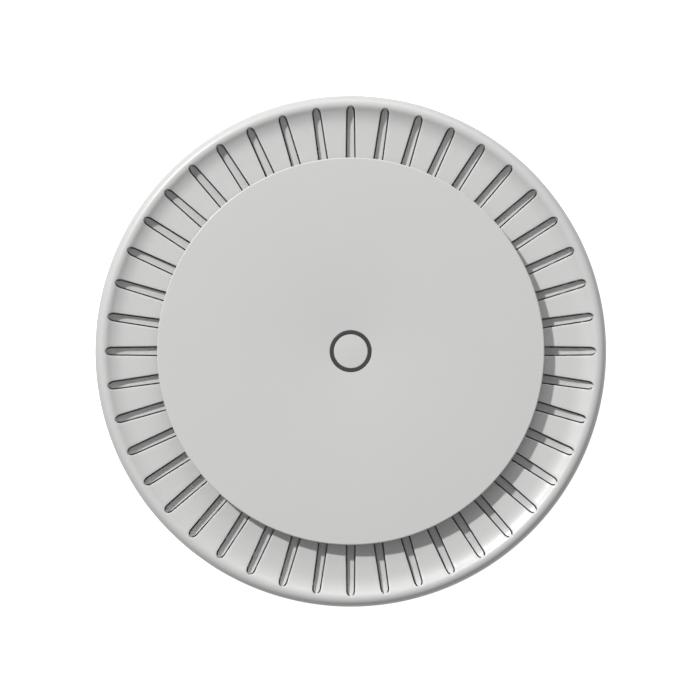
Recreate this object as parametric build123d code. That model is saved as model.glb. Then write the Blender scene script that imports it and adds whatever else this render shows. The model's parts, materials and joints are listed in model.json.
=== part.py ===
from build123d import *
import os
from math import acos, asin, cos, degrees, radians, sin, sqrt, tan

# Ceiling access point, in millimetres.
# The origin is the middle of the bracket's ceiling face. +Z points out of the front disc, which
# is down into the room when the unit hangs. -Y is the side where the cables come out.

# ---- driving dimensions ----
overall_diameter = 191.0
overall_height = 42.0
disc_diameter = 144.4
slot_count = 44

# front shell
shell_wall = 1.7
channel_floor_z = overall_height - 5.8
channel_flat_radius = 84.8
channel_curve_radius = 10.5
rim_crest_radius = 92.25
rim_radius = 2.8
rim_side_slope = 65.0
plateau_radius = 64.0
plateau_z = 39.6
light_well_radius = 9.5
slot_inner_radius = 68.2
slot_outer_radius = 91.65
slot_tip_length = 2.3
slot_inner_width = 3.76
slot_tip_width = 3.24
shell_skirt_z = 34.2

# louvre ring
louvre_drop = 2.2
louvre_wall = 1.2
louvre_gap = 0.45
louvre_inner_radius = 65.0
louvre_outer_radius = 91.9
louvre_window_inner = 68.6
louvre_window_outer = 91.2
louvre_neck_width = 1.2
louvre_hoop_z = 32.6

# rear casing
seam_z = 34.0
casing_wall = 1.8
casing_top_radius = 95.1
casing_curve_radius = 55.0
casing_back_z = 1.5
casing_back_edge_radius = 2.0
lip_inner_radius = 92.4
lip_outer_radius = 93.6
lip_top_z = 35.0
recess_radius = 63.0
recess_floor_z = 8.0
recess_floor_wall = 1.6

# cable bay, an open pocket behind the jacks
bay_half_width = 34.0
bay_jack_wall_y = -22.0
bay_far_y = -52.0
bay_roof_z = 24.2
bay_wall = 1.6
exit_half_width = 9.0
exit_roof_z = 9.0

# twist lock
lock_angles = (90.0, 210.0, 330.0)
ledge_half_angle = 15.0
ledge_inner_radius = 58.6
ledge_z = (2.7, 4.6)
lug_half_angle = 12.0
lug_outer_radius = 60.8
lug_z = (5.0, 6.8)
stop_width_angle = 3.0
stop_gap_angle = 0.4

# mounting bracket
bracket_radius = 60.5
bracket_plate = 2.2
collar_inner_radius = 55.5
collar_outer_radius = 57.5
collar_z = 7.0
bracket_opening_radius = 53.5
bracket_hole_radius = 2.25
bracket_opening_half_width = 33.0
bracket_opening_y = (-60.0, -20.0)
bracket_notch_y = -45.0
gang_box_spacing = 83.3
round_box_spacing = 60.0

# circuit board, heat sink and radio shields
board_radius = 66.0
board_z = 26.4
board_thickness = 1.6
board_top = board_z + board_thickness
chip_height = 1.2
pad_height = 0.6
sink_base_z = board_top + chip_height + pad_height
sink_base_top = sink_base_z + 1.6
sink_top = 36.6
fin_count = 11
fin_pitch = 5.6
fin_thickness = 1.4
hot_chips = {"processor": (-12.0, 34.0, 14.0), "ethernet_switch_chip": (14.0, 34.0, 12.0)}
sink_half_width = 30.0
sink_y = (16.0, 52.0)
sink_ear_x = 34.0
sink_ear_y = 34.0
sink_ear_reach = 3.4
sink_ear_half_width = 4.0
sink_boss_radius = 2.6
sink_hole_radius = 1.4
shield_x = 45.0
shield_y = 2.0
shield_size = (18.0, 24.0)
shield_frame_height = 2.2
shield_sheet = 0.3
passive_row_y = (-16.0, -19.0)
passive_row_start = -24.0
passive_row_pitch = 6.0
passive_column_x = 31.0
passive_column_start = -8.0
passive_column_pitch = 5.0

# front disc and its light guide
disc_edge_radius = 0.5
disc_peg_radius = 1.5
disc_peg_circle = 50.0
disc_peg_angles = (45.0, 135.0, 225.0, 315.0)
ring_outer_radius = 7.85
ring_inner_radius = 6.28
ring_depth = 1.2
ring_fit = 0.05
guide_leg_radius = 0.7
guide_leg_circle = (ring_outer_radius + ring_inner_radius) / 2
guide_angles = (0.0, 90.0, 180.0, 270.0)
led_top_z = board_top + 0.6

# fasteners
case_screw_radius = 74.0
case_screw_angles = (45.0, 135.0, 225.0, 315.0)
board_screw_radius = 58.0
board_screw_angles = (20.0, 90.0, 160.0, 205.0, 335.0)
thread_radius = 1.25
thread_bore_radius = 1.3
case_boss_top_z = 20.2
case_boss_radius = 4.4
case_head_pocket_radius = 3.2
case_head_seat_z = 8.0
board_boss_radius = 3.2
shell_boss_radius = 3.0
shell_boss_roof = 3.0
case_screw_hole_radius = 1.7
board_screw_hole_radius = 1.6
board_bore_floor_z = 14.0
screw_edge_share = 0.4
screw_recess_share = 0.6
screw_recess_width = 0.7

# network jacks, power jack and buttons, all facing -Y in the cable bay
jack_face_y = -21.8
jack_size = (16.0, 20.4, 13.4)
jack_positions = {"uplink_jack": -10.0, "downlink_jack": 8.5}
jack_cavity_width = 11.9
jack_cavity_height = 7.4
jack_cavity_depth = 14.0
jack_cavity_floor = 2.0
jack_contact_pitch = 1.02
jack_contact_width = 0.4
jack_sheet = 0.3
power_jack_x = -26.5
power_jack_size = (9.0, 13.6, 11.0)
power_bore_radius = 3.15
power_pin_radius = 1.0
power_bore_depth = 10.0
power_pin_setback = 0.8
power_axis_z = board_z - power_jack_size[2] / 2
button_z = 21.6
buttons = {"mode": (22.5, 2.0), "reset": (30.0, 1.25)}
button_clearance = 0.08
button_reach = 1.0
flange_y = -20.2
flange_thickness = 1.0
switch_face_y = -18.0
plunger_radius = 1.0
plunger_clearance = 0.06
plunger_end_y = -17.6
switch_half_width = 3.0
switch_depth = 4.5
switch_low_z = 18.6

# antennas stand around the board, each with a thin coaxial lead
antenna_angles = (0.0, 70.0, 110.0, 180.0)
antenna_radius = 76.0
antenna_size = (0.8, 30.0, 18.0)
antenna_bottom_z = 4.5
coax_radius = 0.565
lead_radius_out = 74.7
lead_start_z = 11.0
lead_end_radius = 61.5
coax_plug_size = (2.6, 2.6, 1.9)
lead_bend_share = 0.45
feed_half_width = 1.3
feed_height = 3.0
slit_y = (3.0, 13.0)
slit_above_bottom = (9.0, 10.5)
holder_half_length = 2.0
holder_width = 3.0
holder_top_z = 12.0
holder_overlap = 0.5

# rating label in the recess
label_half_width = 24.0
label_y = (8.0, 34.0)
label_thickness = 0.15


# ---- helpers ----
def block(low, high):
    """A box between two opposite corners."""
    size = [b - a for a, b in zip(low, high)]
    return Pos(*low) * Box(*size, align=Align.MIN)


def peg(radius, z_low, z_high, x=0.0, y=0.0):
    """An upright cylinder."""
    return Pos(x, y, z_low) * Cylinder(radius, z_high - z_low, align=(Align.CENTER, Align.CENTER, Align.MIN))


def rod(radius, y_low, y_high, x, z):
    """A cylinder along Y."""
    return Pos(x, y_low, z) * Rot(-90, 0, 0) * Cylinder(
        radius, y_high - y_low, align=(Align.CENTER, Align.CENTER, Align.MIN)
    )


def tube(outer, inner, z_low, z_high):
    """An upright hollow cylinder about the Z axis."""
    return peg(outer, z_low, z_high) - peg(inner, z_low - 1, z_high + 1)


def ring_sector(outer, inner, z_low, z_high, centre_angle, half_angle):
    """A piece of a ring, centred on one angle."""
    start = centre_angle - half_angle
    end = centre_angle + half_angle
    edges = CenterArc((0, 0), outer, start, 2 * half_angle)
    edges += CenterArc((0, 0), inner, start, 2 * half_angle)
    for angle in (start, end):
        edges += Line(polar(inner, angle), polar(outer, angle))
    return Pos(0, 0, z_low) * extrude(make_face(edges), z_high - z_low)


def polar(radius, angle):
    """The X and Y of a point at a radius and an angle in degrees."""
    return (radius * cos(radians(angle)), radius * sin(radians(angle)))


def around(shape, angles):
    """Copies of a shape turned about the Z axis."""
    return [Rot(0, 0, angle) * shape for angle in angles]


def group(shapes):
    """Several separate solids that share one node."""
    return Compound(children=[solid for shape in shapes for solid in shape.solids()])


def spin(edges):
    """A solid of revolution about Z from a closed outline drawn in radius and height."""
    return revolve(Plane.XZ * make_face(edges), Axis.Z)


def save(node, shape):
    """Write one node's STEP file."""
    export_step(shape, f"parts/{node}.step")


# ---- front shell: channel, rim and slots ----
channel_centre_z = channel_floor_z + channel_curve_radius
rim_offset = rim_crest_radius - channel_flat_radius
arc_sum = channel_curve_radius + rim_radius
rim_centre_z = channel_centre_z - sqrt(arc_sum**2 - rim_offset**2)
rise_angle = 90 - degrees(acos(rim_offset / arc_sum))
slot_pitch = 360 / slot_count


def channel_edges(depth):
    """Channel and rim at a depth below the front surface: a hollow arc, then a round one."""
    hollow = CenterArc(
        (channel_flat_radius, channel_centre_z), channel_curve_radius + depth, 270, rise_angle
    )
    rim = CenterArc(
        (rim_crest_radius, rim_centre_z), rim_radius - depth, 90 + rise_angle, -rim_side_slope - rise_angle
    )
    return hollow, rim


def rim_foot(rim, side_radius):
    """Where the rim's sloping outer side meets the upright wall at a radius."""
    end = rim @ 1
    return (side_radius, end.Y - (side_radius - end.X) * tan(radians(rim_side_slope)))


def slot_face(inset):
    """Outline of one slot along +X: straight tapering sides and an elliptical tip."""
    half_inner = slot_inner_width / 2 - inset
    half_tip = slot_tip_width / 2 - inset
    tip_centre = slot_outer_radius - slot_tip_length
    start = slot_inner_radius + inset
    tip = EllipticalCenterArc((tip_centre, 0), slot_tip_length - inset, half_tip, -90, arc_size=180)
    sides = Polyline((tip_centre, half_tip), (start, half_inner), (start, -half_inner), (tip_centre, -half_tip))
    return make_face(tip + sides)


def front_shell():
    outer_hollow, outer_rim = channel_edges(0)
    inner_hollow, inner_rim = channel_edges(shell_wall)
    wall_inner = plateau_radius - shell_wall
    edges = Polyline(
        inner_hollow @ 0,
        (wall_inner, channel_floor_z - shell_wall),
        (wall_inner, plateau_z - shell_wall),
        (light_well_radius, plateau_z - shell_wall),
        (light_well_radius, plateau_z),
        (plateau_radius, plateau_z),
        (plateau_radius, channel_floor_z),
        outer_hollow @ 0,
    )
    edges += outer_hollow + outer_rim + inner_hollow + inner_rim
    skirt_outer = overall_diameter / 2
    skirt_inner = skirt_outer - shell_wall
    edges += Polyline(
        outer_rim @ 1,
        rim_foot(outer_rim, skirt_outer),
        (skirt_outer, shell_skirt_z),
        (skirt_inner, shell_skirt_z),
        rim_foot(inner_rim, skirt_inner),
        inner_rim @ 1,
    )
    shell = spin(edges)
    slot_floor = channel_floor_z - 2 * shell_wall
    slot = Pos(0, 0, slot_floor) * extrude(slot_face(0), overall_height - slot_floor)
    shell -= around(slot, [k * slot_pitch for k in range(slot_count)])
    shell -= around(peg(disc_peg_radius + 0.1, 35, 40, disc_peg_circle), disc_peg_angles)
    boss_top = channel_floor_z - shell_wall
    boss = peg(shell_boss_radius, case_boss_top_z + 0.3, boss_top, case_screw_radius)
    bore = peg(thread_bore_radius, case_boss_top_z, boss_top - shell_boss_roof, case_screw_radius)
    shell += around(boss, case_screw_angles)
    shell -= around(bore, case_screw_angles)
    return shell


# ---- louvre ring: a ring of blades that stands just below the slots ----
def louvre_arc(depth, end_radius):
    """The channel's hollow arc at a depth below the front surface, out to a radius."""
    radius = channel_curve_radius + depth
    turn = degrees(asin((end_radius - channel_flat_radius) / radius))
    return CenterArc((channel_flat_radius, channel_centre_z), radius, 270, turn)


def louvre_ring():
    floor_top = channel_floor_z - louvre_drop
    hoop_inner_radius = louvre_window_outer - 0.1
    hollow_top = louvre_arc(louvre_drop, louvre_outer_radius)
    hollow_under = louvre_arc(louvre_drop + louvre_wall, hoop_inner_radius)
    edges = hollow_top + hollow_under
    edges += Polyline(
        hollow_top @ 1,
        (louvre_outer_radius, louvre_hoop_z),
        (hoop_inner_radius, louvre_hoop_z),
        hollow_under @ 1,
    )
    seat_radius = louvre_window_inner - 1
    seat_top = channel_floor_z - shell_wall
    edges += Polyline(
        hollow_under @ 0,
        (louvre_inner_radius, floor_top - louvre_wall),
        (louvre_inner_radius, seat_top),
        (seat_radius, seat_top),
        (seat_radius, floor_top),
        hollow_top @ 0,
    )
    ring = spin(edges)
    half_pitch = slot_pitch / 2
    window = ring_sector(louvre_window_outer, louvre_window_inner, 30, 40, half_pitch, half_pitch)
    blade = extrude(slot_face(louvre_gap), 10)
    neck = block((slot_outer_radius - 4, -louvre_neck_width / 2, 0), (louvre_window_outer, louvre_neck_width / 2, 10))
    root = block(
        (louvre_window_inner - 1, -slot_inner_width / 2 + louvre_gap, 0),
        (slot_inner_radius + 3, slot_inner_width / 2 - louvre_gap, 10),
    )
    blade = Pos(0, 0, 30) * (blade + neck + root)
    window -= blade
    window -= Rot(0, 0, slot_pitch) * blade
    return ring - around(window, [k * slot_pitch for k in range(slot_count)])


# ---- front disc and its light guide ----
def front_disc():
    disc = peg(disc_diameter / 2, plateau_z, overall_height)
    disc = fillet(disc.edges().group_by(Axis.Z)[-1], disc_edge_radius)
    disc = fillet(disc.edges().group_by(Axis.Z)[0], disc_edge_radius / 2)
    groove = tube(ring_outer_radius, ring_inner_radius, overall_height - ring_depth, overall_height + 1)
    disc -= groove
    disc -= around(peg(guide_leg_radius + ring_fit, 39, 42, guide_leg_circle), guide_angles)
    head_top = plateau_z - shell_wall
    stake = peg(disc_peg_radius, head_top - 0.9, plateau_z, disc_peg_circle)
    stake += peg(disc_peg_radius + 0.9, head_top - 0.9, head_top, disc_peg_circle)
    return disc + around(stake, disc_peg_angles)


def status_ring_lens():
    bottom = overall_height - ring_depth
    lens = tube(ring_outer_radius - ring_fit, ring_inner_radius + ring_fit, bottom, overall_height - 0.05)
    leg = peg(guide_leg_radius, led_top_z + 0.3, bottom + 0.2, guide_leg_circle)
    return lens + around(leg, guide_angles)


# ---- rear casing ----
def bowl_radius(z, curve_radius):
    """Radius of the bowl's wall at a height, for its outer or inner curve."""
    centre = casing_top_radius - casing_curve_radius
    return centre + sqrt(curve_radius**2 - (seam_z - z) ** 2)


def bowl_arc(z_low, z_high, curve_radius):
    """The bowl's curved wall between two heights, upwards."""
    centre = casing_top_radius - casing_curve_radius
    middle = (z_low + z_high) / 2
    points = [(bowl_radius(z, curve_radius), z) for z in (z_low, middle, z_high)]
    return ThreePointArc(*points)


def casing_bowl():
    """The casing's walls: the outer bowl, the back face, the recess wall and the recess floor."""
    back_inner_z = casing_back_z + casing_wall
    recess_wall = recess_radius + casing_wall
    recess_inner_z = recess_floor_z + recess_floor_wall
    inner_curve = casing_curve_radius - casing_wall
    outer = bowl_arc(casing_back_z, seam_z, casing_curve_radius)
    inner = bowl_arc(back_inner_z, seam_z - 3, inner_curve)
    edges = outer + inner
    edges += Polyline(
        inner @ 1,
        (lip_inner_radius, seam_z - 1.5),
        (lip_inner_radius, lip_top_z),
        (lip_outer_radius, lip_top_z),
        (lip_outer_radius, seam_z),
        outer @ 1,
    )
    edges += Polyline(
        outer @ 0,
        (recess_radius, casing_back_z),
        (recess_radius, recess_floor_z),
        (0, recess_floor_z),
        (0, recess_inner_z),
        (recess_wall, recess_inner_z),
        (recess_wall, back_inner_z),
        inner @ 0,
    )
    bowl = spin(edges)
    back_edge = bowl.edges().filter_by(GeomType.CIRCLE).group_by(Axis.Z)[0].sort_by(SortBy.RADIUS)[-1]
    return fillet(back_edge, casing_back_edge_radius)


def casing_solid_limit():
    """The space inside the bowl's outer curve, which trims what is added near it."""
    edges = bowl_arc(casing_back_z, seam_z, casing_curve_radius - 0.2)
    edges += Polyline(edges @ 1, (0, seam_z), (0, casing_back_z), edges @ 0)
    return spin(edges)


def rear_casing():
    casing = casing_bowl()
    # cable bay and side cable exit, first as solid blocks
    bay = block(
        (-bay_half_width - bay_wall, bay_far_y - bay_wall, recess_floor_z),
        (bay_half_width + bay_wall, bay_jack_wall_y + bay_wall, bay_roof_z + bay_wall),
    )
    exit_block = block(
        (-exit_half_width - bay_wall, -casing_top_radius, casing_back_z),
        (exit_half_width + bay_wall, bay_far_y, exit_roof_z + bay_wall),
    )
    exit_block &= casing_solid_limit()
    exit_block -= peg(recess_radius + 0.5, 0, recess_floor_z + 0.5)
    casing += bay
    casing += exit_block
    # bosses
    case_boss = peg(case_boss_radius, casing_back_z + 0.5, case_boss_top_z, case_screw_radius)
    casing += around(case_boss, case_screw_angles)
    board_boss = peg(board_boss_radius, recess_floor_z + 0.5, board_z, board_screw_radius)
    casing += around(board_boss, board_screw_angles)
    casing += antenna_holders()
    # hollows
    casing -= block(
        (-bay_half_width, bay_far_y, recess_floor_z - 1), (bay_half_width, bay_jack_wall_y, bay_roof_z)
    )
    outside = -overall_diameter / 2
    casing -= block((-exit_half_width, outside, 0), (exit_half_width, -recess_radius + 2, exit_roof_z - 1))
    casing -= around(peg(case_head_pocket_radius, 0, case_head_seat_z, case_screw_radius), case_screw_angles)
    case_hole = peg(case_screw_hole_radius, 0, case_boss_top_z + 1, case_screw_radius)
    casing -= around(case_hole, case_screw_angles)
    board_hole = peg(thread_bore_radius, board_bore_floor_z, board_z + 1, board_screw_radius)
    casing -= around(board_hole, board_screw_angles)
    casing -= wall_windows()
    # ledges that hook over the bracket's lugs
    for angle in lock_angles:
        casing += ring_sector(recess_radius + 0.5, ledge_inner_radius, *ledge_z, angle, ledge_half_angle)
    return casing


def wall_windows():
    """Openings in the bay's wall for the jacks and the buttons."""
    y_low = bay_jack_wall_y
    y_high = bay_jack_wall_y + bay_wall + 0.1
    top = bay_roof_z + bay_wall + 0.1
    cuts = []
    for x in jack_positions.values():
        half = jack_size[0] / 2 + 0.2
        cuts.append(block((x - half, y_low, board_z - jack_size[2] - 0.2), (x + half, y_high, top)))
    half = power_jack_size[0] / 2 + 0.2
    low_z = board_z - power_jack_size[2] - 0.2
    cuts.append(block((power_jack_x - half, y_low, low_z), (power_jack_x + half, y_high, top)))
    for x, radius in buttons.values():
        cuts.append(rod(radius + button_clearance, y_low - 0.1, y_high, x, button_z))
    return cuts


def antenna_holders():
    """Pairs of grooved posts on the casing's back face that hold each antenna by its edges."""
    half = antenna_size[1] / 2
    groove_reach = antenna_size[0] / 2 + 0.1
    groove = block(
        (antenna_radius - groove_reach, -half - 0.1, antenna_bottom_z),
        (antenna_radius + groove_reach, half + 0.1, holder_top_z + 1),
    )
    low_x = antenna_radius - holder_half_length
    high_x = antenna_radius + holder_half_length
    posts = []
    for side in (-1, 1):
        low_y = side * (half - holder_overlap) - holder_width / 2
        post = block((low_x, low_y, casing_back_z + 1), (high_x, low_y + holder_width, holder_top_z))
        posts.append(post - groove)
    return [part for post in posts for part in around(post, antenna_angles)]


# ---- mounting bracket ----
def mounting_bracket():
    opening_limit = peg(bracket_opening_radius, -1, bracket_plate + 1)
    opening_low_y, opening_high_y = bracket_opening_y
    opening = block(
        (-bracket_opening_half_width, opening_low_y, -1),
        (bracket_opening_half_width, opening_high_y, bracket_plate + 1),
    )
    opening &= opening_limit
    bracket = peg(bracket_radius, 0, bracket_plate)
    bracket += tube(collar_outer_radius, collar_inner_radius, bracket_plate - 0.5, collar_z)
    for angle in lock_angles:
        bracket += ring_sector(lug_outer_radius, collar_outer_radius - 0.5, *lug_z, angle, lug_half_angle)
        stop_centre = angle - ledge_half_angle - stop_gap_angle - stop_width_angle / 2
        bracket += ring_sector(
            bracket_radius, collar_outer_radius - 0.5, bracket_plate - 0.5, lug_z[1], stop_centre, stop_width_angle / 2
        )
    bracket -= opening
    bracket -= block(
        (-exit_half_width, -bracket_radius - 1, -1), (exit_half_width, bracket_notch_y, collar_z + 1)
    )
    for spacing in (gang_box_spacing, round_box_spacing):
        for side in (-1, 1):
            bracket -= peg(bracket_hole_radius, -1, bracket_plate + 1, side * spacing / 2)
    return bracket


# ---- screws ----
def pan_screw(head_radius, head_height, seat_z, tip_z, shank_radius, head_side):
    """A pan head screw on the Z axis with a cross recess. head_side is +1 for a head above its seat."""
    head_end = seat_z + head_side * head_height
    screw = peg(head_radius, min(seat_z, head_end), max(seat_z, head_end))
    outer_edge = screw.edges().group_by(Axis.Z)[-1 if head_side > 0 else 0]
    screw = fillet(outer_edge, head_height * screw_edge_share)
    screw += peg(shank_radius, min(seat_z, tip_z), max(seat_z, tip_z))
    depth = head_height * screw_recess_share
    for turn in (0, 90):
        bar = Box(head_radius * 1.1, screw_recess_width, 2 * depth)
        screw -= Pos(0, 0, head_end) * Rot(0, 0, turn) * bar
    return screw


def screws_at(screw, radius, angles):
    return group(around(Pos(radius, 0, 0) * screw, angles))


def case_screws():
    screw = pan_screw(2.8, 2.2, case_head_seat_z, 30.0, thread_radius, -1)
    return screws_at(screw, case_screw_radius, case_screw_angles)


def board_screws():
    return screws_at(pan_screw(2.7, 1.8, board_top, 18.0, thread_radius, 1), board_screw_radius, board_screw_angles)


# ---- circuit board and what is on it ----
def main_board():
    board = peg(board_radius, board_z, board_top)
    board -= around(peg(board_screw_hole_radius, board_z - 1, board_top + 1, board_screw_radius), board_screw_angles)
    for side in (-1, 1):
        board -= peg(sink_hole_radius, board_z - 1, board_top + 1, side * sink_ear_x, sink_ear_y)
    return board


def chip(x, y, width, length, height):
    """A flat package on the board's front face."""
    low = (x - width / 2, y - length / 2, board_top)
    return block(low, (x + width / 2, y + length / 2, board_top + height))


def thermal_pads():
    pads = []
    for x, y, side in hot_chips.values():
        low = (x - side / 2, y - side / 2, board_top + chip_height)
        pads.append(block(low, (x + side / 2, y + side / 2, sink_base_z)))
    return group(pads)


def heat_sink():
    low_y, high_y = sink_y
    ear_x = sink_ear_x + sink_ear_reach
    sink = block((-sink_half_width, low_y, sink_base_z), (sink_half_width, high_y, sink_base_top))
    sink += block(
        (-ear_x, sink_ear_y - sink_ear_half_width, sink_base_z),
        (ear_x, sink_ear_y + sink_ear_half_width, sink_base_top),
    )
    for k in range(fin_count):
        x = (k - (fin_count - 1) / 2) * fin_pitch
        sink += block(
            (x - fin_thickness / 2, low_y + 1, sink_base_top - 0.2), (x + fin_thickness / 2, high_y - 1, sink_top)
        )
    for side in (-1, 1):
        sink += peg(sink_boss_radius, board_top, sink_base_z + 0.2, side * sink_ear_x, sink_ear_y)
        sink -= peg(sink_hole_radius, board_top - 1, sink_base_top + 1, side * sink_ear_x, sink_ear_y)
    return sink


def heat_sink_screws():
    screw = pan_screw(2.3, 1.5, sink_base_top, 25.0, 1.25, 1)
    return group([Pos(side * sink_ear_x, sink_ear_y, 0) * screw for side in (-1, 1)])


def shield_frames():
    width, length = shield_size
    frame = chip(0, 0, width, length, shield_frame_height)
    frame -= chip(0, 0, width - 2 * shield_sheet, length - 2 * shield_sheet, shield_frame_height + 1)
    return group([Pos(side * shield_x, shield_y, 0) * frame for side in (-1, 1)])


def shield_lids():
    width = shield_size[0] + 2 * shield_sheet
    length = shield_size[1] + 2 * shield_sheet
    lid = Pos(0, 0, 0.5) * chip(0, 0, width, length, shield_frame_height - 0.5 + shield_sheet)
    lid -= chip(0, 0, shield_size[0], shield_size[1], shield_frame_height)
    return group([Pos(side * shield_x, shield_y, 0) * lid for side in (-1, 1)])


def capacitor(x, y):
    """A round can with a square base."""
    can = peg(4.0, board_top + 1.0, board_top + 8.4, x, y)
    can = fillet(can.edges().group_by(Axis.Z)[-1], 0.6)
    return can + chip(x, y, 8.6, 8.6, 1.1)


def inductor(x, y):
    """A square moulded coil with rounded corners."""
    body = chip(x, y, 10.0, 10.0, 4.2)
    return fillet(body.edges().filter_by(Axis.Z), 1.2)


def small_passives():
    """Rows of small resistors and capacitors between the larger parts."""
    parts = []
    for row, y in enumerate(passive_row_y):
        for k in range(9):
            parts.append(chip(passive_row_start + passive_row_pitch * k + 1.5 * row, y, 1.6, 0.8, 0.5))
    for side in (-1, 1):
        for k in range(4):
            y = passive_column_start + passive_column_pitch * k
            parts.append(chip(side * passive_column_x, y, 0.8, 1.6, 0.5))
    return group(parts)


def status_leds():
    return group(around(chip(guide_leg_circle, 0, 1.6, 1.2, led_top_z - board_top), guide_angles))


# ---- jacks in the cable bay ----
def jack_box(x, size, inset):
    """The outside of a jack whose front lies in the bay's wall and whose top meets the board."""
    width, depth, height = size
    low = (x - width / 2 + inset, jack_face_y, board_z - height + inset)
    return block(low, (x + width / 2 - inset, jack_face_y + depth - inset, board_z - inset))


def jack_shell(x):
    shell = jack_box(x, jack_size, 0)
    inner = jack_box(x, jack_size, jack_sheet)
    return shell - inner


def jack_cavity(x):
    """Where the plug goes: a wide opening with a stepped notch for its latch."""
    low_z = board_z - jack_size[2] + jack_cavity_floor
    cavity = block(
        (x - jack_cavity_width / 2, jack_face_y - 1, low_z),
        (x + jack_cavity_width / 2, jack_face_y + jack_cavity_depth, low_z + jack_cavity_height),
    )
    for half, top in ((3.2, 1.6), (1.7, 2.8)):
        z = low_z + jack_cavity_height
        cavity += block((x - half, jack_face_y - 1, z - 0.5), (x + half, jack_face_y + jack_cavity_depth, z + top))
    return cavity


def jack_insert(x):
    return jack_box(x, jack_size, jack_sheet) - jack_cavity(x)


def jack_contacts(x):
    """Eight spring contacts, each a slanted wire from the cavity's floor."""
    low_z = board_z - jack_size[2] + jack_cavity_floor
    wires = []
    for k in range(8):
        wire_x = x + (k - 3.5) * jack_contact_pitch
        path = Polyline(
            (jack_face_y + 2.0, low_z),
            (jack_face_y + 10.0, low_z + 1.5),
            (jack_face_y + 10.0, low_z + 1.9),
            (jack_face_y + 1.4, low_z + 0.4),
            (jack_face_y + 1.4, low_z),
            close=True,
        )
        wire = extrude(Plane.YZ * make_face(path), jack_contact_width)
        wires.append(Pos(wire_x - jack_contact_width / 2, 0, 0) * wire)
    return group(wires)


def power_jack_housing():
    housing = jack_box(power_jack_x, power_jack_size, 0)
    bore_end = jack_face_y + power_bore_depth
    return housing - rod(power_bore_radius, jack_face_y - 1, bore_end, power_jack_x, power_axis_z)


def power_jack_pin():
    tip = jack_face_y + power_pin_setback
    return rod(power_pin_radius, tip, jack_face_y + power_bore_depth, power_jack_x, power_axis_z)


# ---- buttons ----
def button_cap(name):
    x, radius = buttons[name]
    cap = rod(radius, bay_jack_wall_y - button_reach, flange_y, x, button_z)
    cap = fillet(cap.edges().group_by(Axis.Y)[0], 0.3)
    return cap + rod(radius + 1.0, flange_y, flange_y + flange_thickness, x, button_z)


def switch_plunger(name):
    x = buttons[name][0]
    return rod(plunger_radius, flange_y + flange_thickness, plunger_end_y, x, button_z)


def switch_body(name):
    x = buttons[name][0]
    body = block(
        (x - switch_half_width, switch_face_y, switch_low_z),
        (x + switch_half_width, switch_face_y + switch_depth, board_z),
    )
    return body - rod(plunger_radius + plunger_clearance, switch_face_y - 1, switch_face_y + 1.4, x, button_z)


# ---- antennas and their leads ----
def antenna(angle):
    """A flat radiator held upright, with the block that its lead is soldered to."""
    thickness, width, height = antenna_size
    plate = block(
        (antenna_radius - thickness / 2, -width / 2, antenna_bottom_z),
        (antenna_radius + thickness / 2, width / 2, antenna_bottom_z + height),
    )
    slit_low, slit_high = (antenna_bottom_z + z for z in slit_above_bottom)
    slit = block((antenna_radius - 1, slit_y[0], slit_low), (antenna_radius + 1, slit_y[1], slit_high))
    feed_x = lead_radius_out - 0.9
    feed = block(
        (feed_x, -feed_half_width, lead_start_z - feed_height), (antenna_radius, feed_half_width, lead_start_z)
    )
    return Rot(0, 0, angle) * (plate - slit + feed)


def antenna_lead(angle):
    """A coaxial lead that rises beside its antenna and turns in over the board's edge."""
    lead_z = board_top + 1.0
    turn_at = (lead_radius_out, 0, lead_z)
    start = (lead_radius_out, 0, lead_start_z)
    end = (lead_end_radius, 0, lead_z)
    shorter_run = min(lead_z - lead_start_z, lead_radius_out - lead_end_radius)
    path = FilletPolyline(start, turn_at, end, radius=lead_bend_share * shorter_run)
    lead = sweep(Plane(start, z_dir=(0, 0, 1)) * Circle(coax_radius), path)
    return Rot(0, 0, angle) * lead


def coax_plugs():
    width, length, height = coax_plug_size
    plug = chip(lead_end_radius - width / 2, 0, width, length, height)
    return group(around(plug, antenna_angles))


# ---- label ----
def rating_label():
    low_y, high_y = label_y
    low = (-label_half_width, low_y, recess_floor_z - label_thickness)
    return block(low, (label_half_width, high_y, recess_floor_z))


# ---- write the nodes ----
os.makedirs("parts", exist_ok=True)

save("front_disc", front_disc())
save("status_ring_lens", status_ring_lens())
save("front_shell", front_shell())
save("louvre_ring", louvre_ring())
save("rear_casing", rear_casing())
save("mounting_bracket", mounting_bracket())
save("rating_label", rating_label())
save("case_screws", case_screws())
save("board_screws", board_screws())

save("main_board", main_board())
for name, (chip_x, chip_y, chip_side) in hot_chips.items():
    save(name, chip(chip_x, chip_y, chip_side, chip_side, chip_height))
save("thermal_pads", thermal_pads())
save("heat_sink", heat_sink())
save("heat_sink_screws", heat_sink_screws())
save("memory_chips", group([chip(-26.0, 2.0, 8.0, 12.0, 1.1), chip(-15.5, 2.0, 8.0, 12.0, 1.1)]))
save("flash_chip", chip(20.0, 2.0, 6.0, 5.0, 0.9))
save("clock_crystal", chip(13.0, 10.0, 3.2, 2.5, 0.8))
save("radio_chips", group([chip(side * shield_x, shield_y, 8.0, 8.0, 1.0) for side in (-1, 1)]))
save("shield_frames", shield_frames())
save("shield_lids", shield_lids())
save("ethernet_transformers", group([chip(x, -30.0, 12.7, 9.5, 5.2) for x in jack_positions.values()]))
save("smoothing_capacitors", group([capacitor(-42, -34), capacitor(-32, -44), capacitor(42, -34)]))
save("power_inductors", group([inductor(-28, -29), inductor(28, -32)]))
save("small_passives", small_passives())
save("status_leds", status_leds())

for name, jack_x in jack_positions.items():
    save(f"{name}_shell", jack_shell(jack_x))
    save(f"{name}_insert", jack_insert(jack_x))
    save(f"{name}_contacts", jack_contacts(jack_x))
save("power_jack_housing", power_jack_housing())
save("power_jack_pin", power_jack_pin())

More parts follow.
